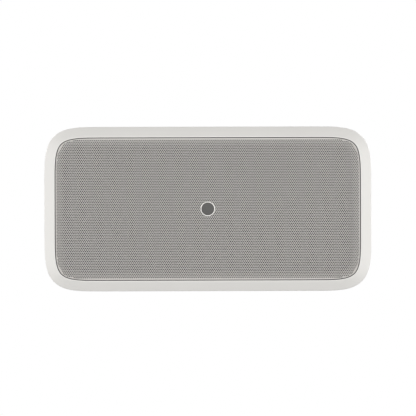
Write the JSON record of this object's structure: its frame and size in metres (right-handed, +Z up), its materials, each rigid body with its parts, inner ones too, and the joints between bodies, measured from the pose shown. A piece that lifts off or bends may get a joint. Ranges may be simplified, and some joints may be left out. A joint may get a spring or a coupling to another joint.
{
  "type": "surface-mount subwoofer",
  "caption": "Flat oblong wall-mounted subwoofer: white bevelled frame, perforated grille with a small round badge, woofers beside a port, keyhole wall plate.",
  "frame": {"origin": "centre of the wall plate's four screw holes, on the wall plane", "axes": "+X to the viewer's right, +Z up, +Y into the wall, so the grille faces -Y"},
  "size_m": [0.348, 0.1706, 0.175],
  "materials": {
    "shell_plastic": "fine satin texture, white",
    "frame_plastic": "fine satin texture, warm white",
    "baffle_plastic": "moulded, black",
    "foam": "closed-cell foam, black",
    "grille_steel": "white powder coat",
    "cloth": "black acoustic cloth",
    "badge_metal": "dark centre with a turned bright rim",
    "spring_steel": "plain",
    "port_plastic": "moulded, black",
    "plate_steel": "white powder coat",
    "cup_plastic": "moulded, black",
    "socket_plastic": "dark green connector plastic",
    "board": "solder mask, green",
    "copper": "enamelled copper wire",
    "film_sleeve": "shrink sleeve, blue",
    "stud_steel": "zinc plated",
    "brass": "turned",
    "basket_steel": "pressed steel, black",
    "strip_board": "phenolic paper board",
    "plated_steel": "zinc plated",
    "ferrite": "ground ferrite, dark grey",
    "former_foil": "foil",
    "spider_cloth": "resin-stiffened cloth, tan",
    "cone_paper": "pressed pulp, dark grey",
    "cap_plastic": "smooth, black",
    "surround_rubber": "butyl rubber, black",
    "trim_plastic": "moulded, black"
  },
  "bodies": {
    "cabinet": {"rear_shell": "shell_plastic", "shell_gasket": "foam", "front_baffle": "baffle_plastic", "front_frame": "frame_plastic", "grille_panel": "grille_steel", "grille_cloth": "cloth", "badge": "badge_metal", "badge_nut": "spring_steel", "port_tube": "port_plastic", "wall_plate": "plate_steel", "terminal_cup": "cup_plastic", "terminal_block": "socket_plastic", "filter_board": "board", "inductor": "copper", "capacitor_upper": "film_sleeve", "capacitor_lower": "film_sleeve", "hang_stud_1": "stud_steel", "stud_insert_1": "brass", "hang_stud_2": "stud_steel", "stud_insert_2": "brass", "hang_stud_3": "stud_steel", "stud_insert_3": "brass", "hang_stud_4": "stud_steel", "stud_insert_4": "brass", "left_flange_gasket": "foam", "left_basket": "basket_steel", "left_terminal_strip": "strip_board", "left_top_plate": "plated_steel", "left_magnet": "ferrite", "left_yoke": "plated_steel", "left_spider": "spider_cloth", "left_surround": "surround_rubber", "left_rim_ring": "trim_plastic", "right_flange_gasket": "foam", "right_basket": "basket_steel", "right_terminal_strip": "strip_board", "right_top_plate": "plated_steel", "right_magnet": "ferrite", "right_yoke": "plated_steel", "right_spider": "spider_cloth", "right_surround": "surround_rubber", "right_rim_ring": "trim_plastic"},
    "left_diaphragm": {"left_coil_former": "former_foil", "left_voice_coil": "copper", "left_cone": "cone_paper", "left_dust_cap": "cap_plastic"},
    "right_diaphragm": {"right_coil_former": "former_foil", "right_voice_coil": "copper", "right_cone": "cone_paper", "right_dust_cap": "cap_plastic"}
  },
  "joints": [
    {"name": "left_cone_travel", "type": "slide", "parent": "cabinet", "child": "left_diaphragm", "axis": [0, -1, 0], "range_m": [-0.004, 0.004], "stiffness_N_per_m": 1000, "deforming": ["left_surround", "left_spider"]},
    {"name": "right_cone_travel", "type": "slide", "parent": "cabinet", "child": "right_diaphragm", "axis": [0, -1, 0], "range_m": [-0.004, 0.004], "stiffness_N_per_m": 1000, "deforming": ["right_surround", "right_spider"]}
  ]
}
